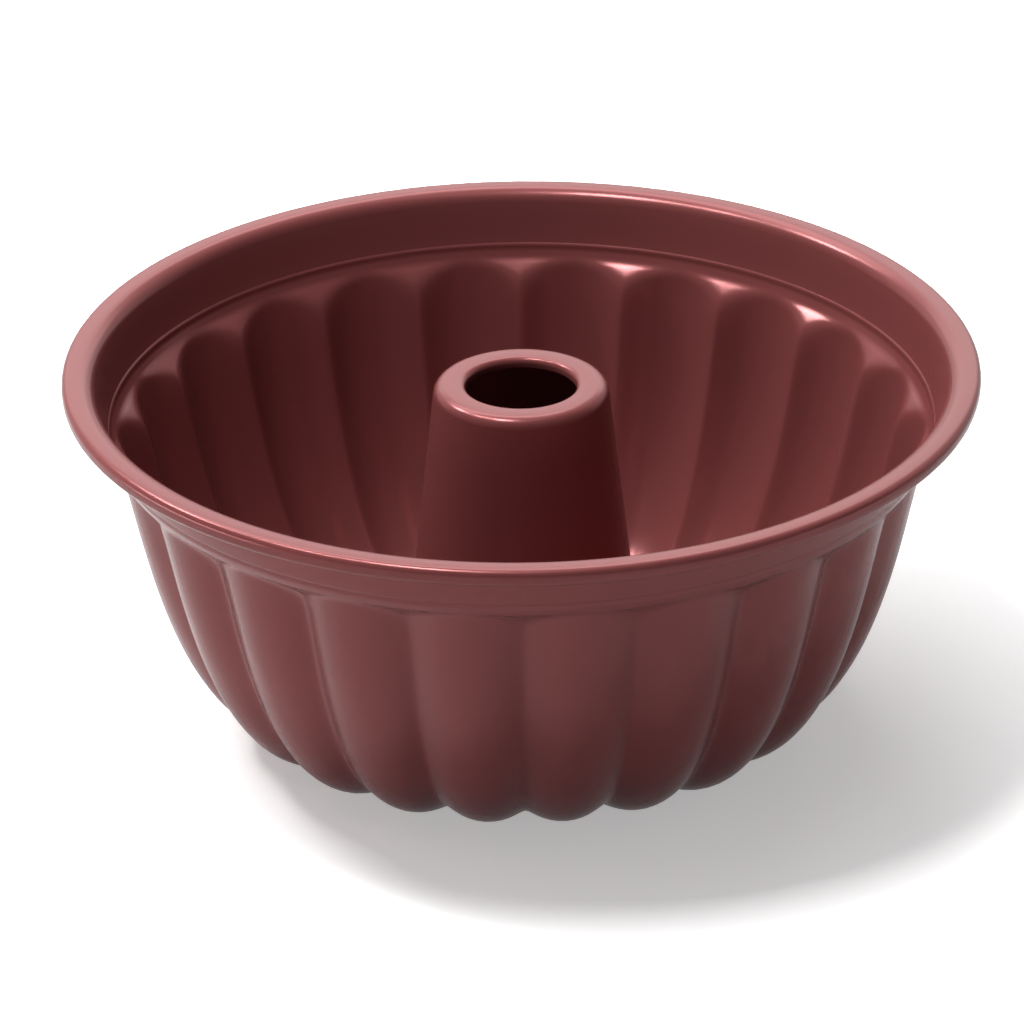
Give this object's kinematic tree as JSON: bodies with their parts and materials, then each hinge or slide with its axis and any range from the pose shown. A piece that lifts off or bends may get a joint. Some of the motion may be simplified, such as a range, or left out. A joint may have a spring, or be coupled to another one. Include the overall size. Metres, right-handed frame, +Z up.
{
  "type": "fluted tube pan",
  "caption": "Round fluted cake pan of coated steel sheet with a tapered open centre tube and a rolled flange rim, for baking ring cakes.",
  "frame": {"origin": "on the pan's axis, in the plane of the feet that it stands on", "axes": "+Z up along the pan's axis, out of its open mouth; -Y towards the viewer of the picture; +X to the viewer's right"},
  "size_m": [0.25, 0.25, 0.104],
  "materials": {
    "coating": "satin",
    "wire": "satin"
  },
  "bodies": {
    "root": {"fluted_shell": "coating", "centre_tube": "coating", "rim_wire": "wire"}
  },
  "joints": []
}
